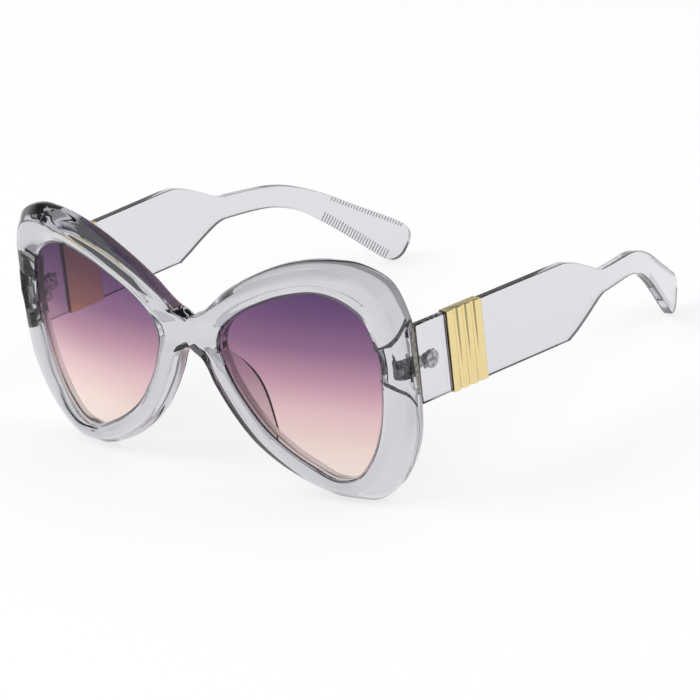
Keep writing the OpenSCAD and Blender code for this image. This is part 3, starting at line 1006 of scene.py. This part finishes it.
@dataclass
class Temple:
    """One temple: a short front stretch, a gold band and the long rear stretch with its tip.

    The temple's own frame has Y along it, X 0 on its outer face and its thickness towards -X.
    """

    side: Side
    length: float = 149.6
    thick: float = 2.6
    panel_h: float = 24.2
    neck_h: float = 6.9
    tip_h: float = 12.2
    middle_z: float = 42.9
    splay: float = 2.3
    wrap_in_r: float = 138.0
    bend_shares: Pair = (0.4, 0.83)
    hinge_x: float = 72.2
    start_y: float = -66.4
    band_l: float = 15.0
    band_start: float = 13.5
    band_proud: float = 0.25
    seat_gap: float = 0.06
    flute_r: float = 1.1
    edge_round: float = 0.6
    tip_end_l: float = 6.2
    panel_drop: float = 5.8
    # Height of the tip's middle over the floor, as a share of its own height
    tip_rest: float = 0.219
    # Stations on the flat panel and between two points of the path, and the points past its end
    flat_steps: int = 8
    path_steps: int = 4
    path_spare: int = 4
    # Rounded end of the tip: the reach over which its direction is taken, its stations, how they crowd
    # towards the end, and its outline's power
    tip_reach: float = 0.5
    tip_steps: int = 12
    tip_crowding: float = 0.6
    tip_last: float = 0.99
    tip_power: float = 2.4
    # The band's flutes: their places along it, and how far their axes stand off, in radii
    flute_shares: tuple[float, ...] = (0.25, 0.5, 0.75)
    flute_off: float = 0.5
    flute_facets: int = 48
    band_round: float = 0.25
    # Edges sharper than this are rounded, on the plastic and on the band
    sharp_deg: Pair = (50.0, 35.0)
    # Faces of the front stretch that look more to the front than this are its sawn end
    sawn_normal: float = -0.9
    # Grip grooves: their spacing, width, depth, lengths from the two edges and span along the path
    rib_step: float = 1.1
    rib_w: float = 0.42
    rib_depth: float = 0.2
    rib_l: Pair = (1.3, 3.0)
    rib_span: Pair = (8.0, 11.15)
    # How far their cutter stands off the face and past the edges
    rib_lift: float = 0.3
    rib_over: float = 1.0
    # Steps in which the span is measured, and the reach over which its direction is taken
    rib_fine: int = 600
    rib_reach: float = 0.05
    # Distance along and fall of the temple's middle, then its half height as shares of panel, neck and tip
    path_shares: tuple[tuple[float, ...], ...] = (
        (0.440, 0.146, 1, 0, 0), (0.475, 0.150, 0.85, 0, 0), (0.520, 0.160, 0.45, 0.5, 0),
        (0.566, 0.175, 0.05, 1, 0), (0.600, 0.188, 0, 1.06, 0), (0.671, 0.222, 0, 1, 0),
        (0.720, 0.264, 0, 1, 0), (0.770, 0.348, 0, 0.75, 0.16), (0.820, 0.478, 0, 0.36, 0.48),
        (0.872, 0.640, 0, 0, 0.8), (0.925, 0.808, 0, 0, 0.97), (0.952, 0.894, 0, 0, 1.03),
        (0.970, 0.950, 0, 0, 1.02), (0.9768, 0.984, 0, 0, 0.68), (0.9812, 1.001, 0, 0, 0.34),
    )  # fmt: skip

    @property
    def panel_end(self) -> float:
        """Distance along the temple where its flat panel ends."""
        return self.length * self.path_shares[0][0]

    @property
    def band_end(self) -> float:
        """Distance along the temple where the gold band ends."""
        return self.band_start + self.band_l

    @property
    def path_end(self) -> int:
        """Place on the path where the tip's rounded end starts."""
        return len(self.path_shares) - self.path_spare

    def panel_middle(self, s: float) -> float:
        """Height of the panel's middle at a distance along the temple."""
        return self.middle_z - self.panel_drop * s / self.panel_end

    def inward(self, s: float) -> float:
        """Bends the temple in towards the head, and then lets it run straight.

        Args:
            s: The distance along the temple.

        Returns:
            How far it has come in.
        """
        start, end = (share * self.length for share in self.bend_shares)
        past = max(0.0, min(s, end) - start)
        return past * (past / 2 + max(0.0, s - end)) / self.wrap_in_r

    def station(self, place: float) -> tuple[Vector, float]:
        """The temple's middle and height at a place along the rear path.

        Args:
            place: The place, where whole numbers are the path's points.

        Returns:
            The middle of the outer face, and half the height.
        """
        along, fall, panel, neck, tip = smooth_at(self.path_shares, place, closed=False)
        s = self.length * along
        middle = Vector((-self.inward(s), s, mix(self.middle_z, self.tip_h * self.tip_rest, fall)))
        half = panel * self.panel_h / 2 + neck * self.neck_h / 2 + tip * self.tip_h / 2
        return middle, half

    def tip_end(self) -> list[tuple[Vector, float]]:
        """Rounds the end of the tip off, straight on from its path.

        Returns:
            Middles of the outer face, each with half the height.
        """
        middle, half = self.station(self.path_end)
        way = (middle - self.station(self.path_end - self.tip_reach)[0]).normalized()
        power = self.tip_power
        steps = [(k / self.tip_steps) ** self.tip_crowding for k in range(1, self.tip_steps + 1)]
        return [
            (middle + way * self.tip_end_l * t, half * (1 - t**power) ** (1 / power))
            for t in (step * self.tip_last for step in steps)
        ]

    def stations(self) -> list[tuple[Vector, float]]:
        """Lists the rear stretch's stations, from the gold band to the tip.

        Returns:
            Middles of the outer face, each with half the height.
        """
        start = self.band_end + self.seat_gap
        flat = [
            (Vector((-self.inward(s), s, self.panel_middle(s))), self.panel_h / 2)
            for s in (mix(start, self.panel_end, k / self.flat_steps) for k in range(self.flat_steps))
        ]
        bent = [self.station(k / self.path_steps) for k in range(self.path_end * self.path_steps + 1)]
        return flat + bent + self.tip_end()

    @staticmethod
    def square_to(way: Vector, level: bool = False) -> tuple[Vector, Vector]:
        """The directions square to a way along the path.

        Args:
            way: The direction of the path.
            level: True if the section stays upright.

        Returns:
            The outward and the upward direction.
        """
        heading = math.atan2(-way.x, way.y)
        pitch = 0.0 if level else math.atan2(way.z, math.hypot(way.x, way.y))
        out = Vector((math.cos(heading), math.sin(heading), 0))
        ahead = Vector((-out.y, out.x, 0))
        return out, Vector((0, 0, math.cos(pitch))) - ahead * math.sin(pitch)

    def corners(self, stations: list[tuple[Vector, float]], i: int) -> list[Vector]:
        """The corners of the section at a station, square to the path.

        Args:
            stations: Every middle and half height.
            i: The station's number.

        Returns:
            The outer and the inner low corner, and then the inner and the outer high one.
        """
        middle, half = stations[i]
        way = stations[min(i + 1, len(stations) - 1)][0] - stations[max(i - 1, 0)][0]
        out, up = self.square_to(way, level=i <= self.flat_steps)
        return [
            middle + out * x + up * z
            for x, z in ((0, -half), (-self.thick, -half), (-self.thick, half), (0, half))
        ]

    def place(self, piece: Piece) -> None:
        """Moves a mesh from the temple's own frame to the part's, mirrored on the right.

        Args:
            piece: The piece, whose mesh moves.
        """
        turn = Matrix.Rotation(math.radians(-self.splay), 4, "Z")
        move = Matrix.Translation(Vector((self.hinge_x, self.start_y, 0)) * MM)
        flip = Matrix.Diagonal((self.side.value, 1, 1, 1))
        piece.data.transform(flip @ move @ turn)

    def sweep(self, name: str, sections: list[list[Vector]]) -> Piece:
        """Extrudes a rectangle from section to section, as by hand.

        Args:
            name: The piece's name, without its side.
            sections: Four corners each, in millimetres.

        Returns:
            The swept piece, in the temple's own frame.
        """
        deselect()
        bpy.ops.mesh.primitive_plane_add(size=MM, location=(0, 0, 0))
        piece = bpy.context.object
        piece.name = piece.data.name = f"{name}_{self.side.word}"
        bpy.ops.object.mode_set(mode="EDIT")
        shape = bmesh.from_edit_mesh(piece.data)
        shape.verts.ensure_lookup_table()
        ring = [shape.verts[i] for i in (0, 1, 3, 2)]
        for vertex, corner in zip(ring, sections[0], strict=True):
            vertex.co = corner * MM
        bmesh.update_edit_mesh(piece.data)
        for before, after in zip(sections, sections[1:], strict=False):
            step = (after[0] - before[0]) * MM
            bpy.ops.mesh.extrude_region_move(TRANSFORM_OT_translate={"value": step})
            shape = bmesh.from_edit_mesh(piece.data)
            for vertex in [v for v in shape.verts if v.select]:
                nearest = min(range(4), key=lambda k: (vertex.co - before[k] * MM - step).length)
                vertex.co = after[nearest] * MM
            bmesh.update_edit_mesh(piece.data)
        bpy.ops.object.mode_set(mode="OBJECT")
        return piece

    def rib_places(self) -> list[float]:
        """Spaces the tip's grip grooves, one step apart.

        Returns:
            Their places along the path.
        """
        start, end = self.rib_span
        fine = [mix(start, end, k / self.rib_fine) for k in range(self.rib_fine + 1)]
        places, gone = [start], 0.0
        for before, after in zip(fine, fine[1:], strict=False):
            gone += (self.station(after)[0] - self.station(before)[0]).length
            if gone >= self.rib_step * len(places):
                places.append(after)
        return places

    def cut_ribs(self, piece: Piece, groove_shade: Material) -> None:
        """Cuts the grip grooves across the inner face of the tip, from both its edges inwards, and colours
        them grey as painted shade.

        Args:
            piece: The rear stretch, in the temple's own frame.
            groove_shade: The material of the grooves, whose grey is painted shade.
        """
        points: list[Vector] = []
        faces: list[tuple[int, ...]] = []
        lift = self.rib_lift
        wide = self.rib_w / 2 * (self.rib_depth + lift) / self.rib_depth
        for place in self.rib_places():
            middle, half = self.station(place)
            before, after = (self.station(place + reach)[0] for reach in (-self.rib_reach, self.rib_reach))
            way = (after - before).normalized()
            out, up = self.square_to(way)
            for sign, long in zip((1, -1), self.rib_l, strict=True):
                first = len(points)
                for across in (half - long, half + self.rib_over):
                    for along, deep in ((0, self.rib_depth), (-wide, -lift), (wide, -lift)):
                        points.append(middle + way * along + out * (deep - self.thick) + up * across * sign)
                for corners in ((0, 1, 2), (5, 4, 3), (0, 3, 4, 1), (1, 4, 5, 2), (2, 5, 3, 0)):
                    faces.append(tuple(first + k for k in corners))
        cutter = mesh_piece("rib_cutter", points, faces)
        tidy(cutter)
        # The cutter hands its grey, which is painted shade, to the groove faces
        cutter.data.materials.append(groove_shade)
        add_modifier(
            piece, "BOOLEAN", operation="DIFFERENCE", solver="EXACT", material_mode="TRANSFER",
            object=cutter,
        )  # fmt: skip
        bpy.data.objects.remove(cutter)

    def finish(self, piece: Piece, slot: str, node: str, *materials: Material) -> None:
        """Moves a finished stretch into place, paints its front end and seats it.

        Args:
            piece: The stretch, in the temple's own frame, with its first material.
            slot: The record's material slot.
            node: The CAD node that it stands for, without its side.
            *materials: The stretch's material and the one of its sawn front end, if it has one.
        """
        self.place(piece)
        tidy(piece)
        if materials:
            paint(piece, lambda face: face.normal.y < self.sawn_normal, *materials)
        seat(piece, slot, self.side.body, f"{node}_{self.side.word}")

    def sweep_plastic(self, name: str, sections: list[list[Vector]], palette: Palette) -> Piece:
        """Sweeps a plastic stretch and rounds its edges.

        Args:
            name: The piece's name, without its side.
            sections: Four corners each, in millimetres.
            palette: The materials.

        Returns:
            The stretch, in the temple's own frame.
        """
        piece = self.sweep(name, sections)
        tidy(piece)
        bevel(piece, self.edge_round, self.sharp_deg[0])
        piece.data.materials.append(palette.plastic)
        return piece

    def build_rear(self, palette: Palette) -> None:
        """Builds the rear stretch: panel, neck, ear bend and ribbed tip.

        Args:
            palette: The materials.
        """
        stations = self.stations()
        sections = [self.corners(stations, i) for i in range(len(stations))]
        piece = self.sweep_plastic("clear_temple_rear", sections, palette)
        self.cut_ribs(piece, palette.groove_shade)
        self.finish(piece, "clear_plastic", "temple_rear")

    def panel_sections(self, places: Sequence[float], grow: float = 0.0) -> list[list[Vector]]:
        """Sections of the flat panel, at places along it.

        Args:
            places: Distances along the temple.
            grow: How far they stand proud of the panel, all round.

        Returns:
            Four corners each, in millimetres.
        """
        return [
            [
                Vector((x, s, self.panel_middle(s) + sign * (self.panel_h / 2 + grow)))
                for x, sign in ((grow, -1), (-self.thick - grow, -1), (-self.thick - grow, 1), (grow, 1))
            ]
            for s in places
        ]

    def build_front(self, palette: Palette) -> None:
        """Builds the front stretch, between the hinge and the gold band, with its sawn front end.

        Args:
            palette: The materials.
        """
        end = self.band_start - self.seat_gap
        sections = self.panel_sections([0, end / 2, end])
        piece = self.sweep_plastic("clear_temple_front", sections, palette)
        self.finish(piece, "clear_plastic", "temple_front", palette.plastic, palette.sawn)

    def build_band(self, palette: Palette) -> None:
        """Builds the gold band with its flutes.

        Args:
            palette: The materials.
        """
        sections = self.panel_sections([self.band_start, self.band_end], self.band_proud)
        piece = self.sweep("gold_band", sections)
        tidy(piece)
        for share in self.flute_shares:
            deselect()
            off = self.band_proud + self.flute_r * self.flute_off
            bpy.ops.mesh.primitive_cylinder_add(
                vertices=self.flute_facets, radius=self.flute_r * MM, depth=2 * self.panel_h * MM,
                location=Vector((off, self.band_start + self.band_l * share, self.middle_z)) * MM,
            )  # fmt: skip
            cutter = bpy.context.object
            add_modifier(piece, "BOOLEAN", operation="DIFFERENCE", solver="EXACT", object=cutter)
            bpy.data.objects.remove(cutter)
        bevel(piece, self.band_round, self.sharp_deg[1])
        piece.data.materials.append(palette.gold)
        self.finish(piece, "gold_trim", "trim_band")

    def build(self, palette: Palette) -> None:
        """Builds the temple's three stretches.

        Args:
            palette: The materials.
        """
        self.build_front(palette)
        self.build_band(palette)
        self.build_rear(palette)


@dataclass
class Hinges:
    """The two hinges, whose solids are right as they are and get their plating here."""

    nodes: tuple[str, ...] = ("front_hinge", "temple_hinge")
    screw: str = "hinge_screw"

    def build(self, palette: Palette) -> None:
        """Plates the hinge halves and the screws.

        Args:
            palette: The materials.
        """
        for side in Side:
            for name in (*self.nodes, self.screw):
                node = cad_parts[f"{name}_{side.word}"]
                node.data.materials.clear()
                node.data.materials.append(palette.steel if name == self.screw else palette.plated)
                LOG.info("%s: plated", node.name)


@dataclass
class Studio:
    """The floor, the white surround, the lamps and the camera of the photograph."""

    azimuth: float = 40.736
    elevation: float = 22.509
    roll: float = -6.496
    camera_at: tuple[float, float, float] = (0.979173, -1.148124, 0.634838)
    focal_share: float = 5485.811 / 700
    sensor_mm: float = 36.0
    clip_m: Pair = (0.05, 20.0)
    floor_m: float = 6.0
    white: str = "#FFFFFF"
    paper: str = "#E6E6E6"
    # Share of the floor's glow in what is seen of it, and the ray depth up to which it stays white
    glow_share: float = 0.72
    straight_depth: float = 2.5
    # Where the lit sweep ends in front of the object, and its grey beyond
    sweep: Pair = (-0.11, -0.09)
    sweep_grey: float = 0.2
    # Heights between which the white turns into dark walls, and those into a canopy
    walls: Pair = (0.1, 0.35)
    walls_grey: float = 0.18
    canopy: Pair = (0.8, 0.95)
    canopy_light: float = 0.2
    soft_light: float = 0.75
    # Lamps, each with its place, size and power
    lamps: tuple[tuple[str, tuple[float, float, float], float, float], ...] = (
        ("key", (-0.7, -0.6, 0.9), 0.8, 9.0), ("fill", (0.9, 0.3, 0.8), 0.8, 5.0),
    )  # fmt: skip
    bounces: int = 24

    def build_camera(self) -> None:
        """Puts the camera where the photograph was taken from."""
        data = bpy.data.cameras.new("camera")
        data.sensor_width = self.sensor_mm
        data.lens = self.sensor_mm * self.focal_share
        data.clip_start, data.clip_end = self.clip_m
        camera = bpy.data.objects.new("camera", data)
        bpy.context.scene.collection.objects.link(camera)
        a, e, r = (math.radians(x) for x in (self.azimuth, self.elevation, self.roll))
        back = Vector((math.sin(a) * math.cos(e), -math.cos(a) * math.cos(e), math.sin(e)))
        right = Vector((math.cos(a), math.sin(a), 0))
        up = back.cross(right)
        across = right * math.cos(r) + up * math.sin(r)
        upward = up * math.cos(r) - right * math.sin(r)
        turn = Matrix((across, upward, back)).transposed().to_4x4()
        camera.matrix_world = Matrix.Translation(self.camera_at) @ turn
        bpy.context.scene.camera = camera

    @staticmethod
    def split_rays(tree: Tree) -> tuple[bpy.types.bpy_prop_collection, Node]:
        """Tells the rays that see something from those that only carry light.

        Args:
            tree: The node tree of the world or the floor.

        Returns:
            The kinds of rays, and 1 for those from the camera, off a gloss or through clear plastic.
        """
        rays = add_node(tree, "LightPath").outputs
        seen = rays["Is Camera Ray"]
        for kind in ("Is Glossy Ray", "Is Transmission Ray"):
            seen = add_node(tree, "Math", {0: seen, 1: rays[kind]}, operation="MAXIMUM")
        return rays, seen

    def build_world(self) -> None:
        """Surrounds the object with white where it is seen, and with plain soft light elsewhere.

        What it mirrors and refracts is the studio: white low down, dark walls and a bright canopy.
        """
        world = bpy.data.worlds.new("studio")
        world.use_nodes = True
        tree = world.node_tree
        tree.nodes.clear()
        rays, seen = self.split_rays(tree)
        way = add_node(tree, "TexCoord").outputs["Generated"]
        height = add_node(tree, "SeparateXYZ", {0: way}).outputs["Z"]
        level = rays["Is Camera Ray"]
        for (low, high), start, end in (
            (self.walls, 1.0, self.walls_grey), (self.canopy, 0.0, self.canopy_light),
        ):  # fmt: skip
            ends = {"From Min": low, "From Max": high, "To Min": start, "To Max": end}
            part = add_node(tree, "MapRange", {"Value": height, **ends})
            level = add_node(tree, "Math", {0: level, 1: part}, operation="MAXIMUM")
        light, white = (
            add_node(tree, "Background", {"Color": linear(self.white), "Strength": strength})
            for strength in (self.soft_light, level)
        )
        both = add_node(tree, "MixShader", {0: seen, 1: light, 2: white})
        add_node(tree, "OutputWorld", {"Surface": both})
        bpy.context.scene.world = world

    def build_floor(self) -> None:
        """Lays a plain white floor that shows the object's soft shadow.

        In what the object mirrors and refracts, the lit sweep ends a little in front of it.
        """
        deselect()
        bpy.ops.mesh.primitive_plane_add(size=self.floor_m, location=(0, 0, 0))
        floor = bpy.context.object
        floor.name = "floor"
        material, tree, place = Finish("white_paper_sweep").start()
        rays, seen = self.split_rays(tree)
        ahead = add_node(tree, "SeparateXYZ", {0: place}).outputs["Y"]
        low, high = self.sweep
        ends = {"From Min": low, "From Max": high, "To Min": self.sweep_grey, "To Max": 1.0}
        bright = add_node(tree, "MapRange", {"Value": ahead, **ends})
        # What is seen straight through one wall of plastic stays white
        near = add_node(tree, "Math", {0: rays["Ray Depth"], 1: self.straight_depth}, operation="LESS_THAN")
        straight = add_node(tree, "Math", {0: near, 1: rays["Is Transmission Ray"]}, operation="MULTIPLY")
        for other in (rays["Is Camera Ray"], straight):
            bright = add_node(tree, "Math", {0: bright, 1: other}, operation="MAXIMUM")
        share = add_node(tree, "Math", {0: seen, 1: self.glow_share}, operation="MULTIPLY")
        paper = add_node(tree, "BsdfDiffuse", {"Color": linear(self.paper)})
        glow = add_node(tree, "Emission", {"Color": linear(self.white), "Strength": bright})
        both = add_node(tree, "MixShader", {0: share, 1: paper, 2: glow})
        add_node(tree, "OutputMaterial", {"Surface": both})
        floor.data.materials.append(material)

    def build_lamps(self) -> None:
        """Hangs a soft key lamp on the left and a weaker fill on the right."""
        for name, place, size, power in self.lamps:
            data = bpy.data.lights.new(name, "AREA")
            data.size, data.energy = size, power
            lamp = bpy.data.objects.new(name, data)
            bpy.context.scene.collection.objects.link(lamp)
            lamp.location = place
            lamp.rotation_mode = "QUATERNION"
            lamp.rotation_quaternion = (-Vector(place)).to_track_quat("-Z", "Y")
            lamp.visible_transmission = lamp.visible_glossy = False

    def build(self) -> None:
        """Builds the whole studio."""
        self.build_camera()
        self.build_world()
        self.build_floor()
        self.build_lamps()
        bpy.context.scene.view_settings.view_transform = "Standard"
        for limit in ("max_bounces", "transmission_bounces", "transparent_max_bounces"):
            setattr(bpy.context.scene.cycles, limit, self.bounces)


def main() -> None:
    """Builds the sunglasses round the frame."""
    logging.basicConfig(level=logging.INFO, format="%(name)s: %(message)s")
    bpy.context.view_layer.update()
    Studio().build()
    palette = Palette()
    Front().build(palette)
    for side in Side:
        Temple(side).build(palette)
    Hinges().build(palette)


if __name__ == "__main__":
    main()
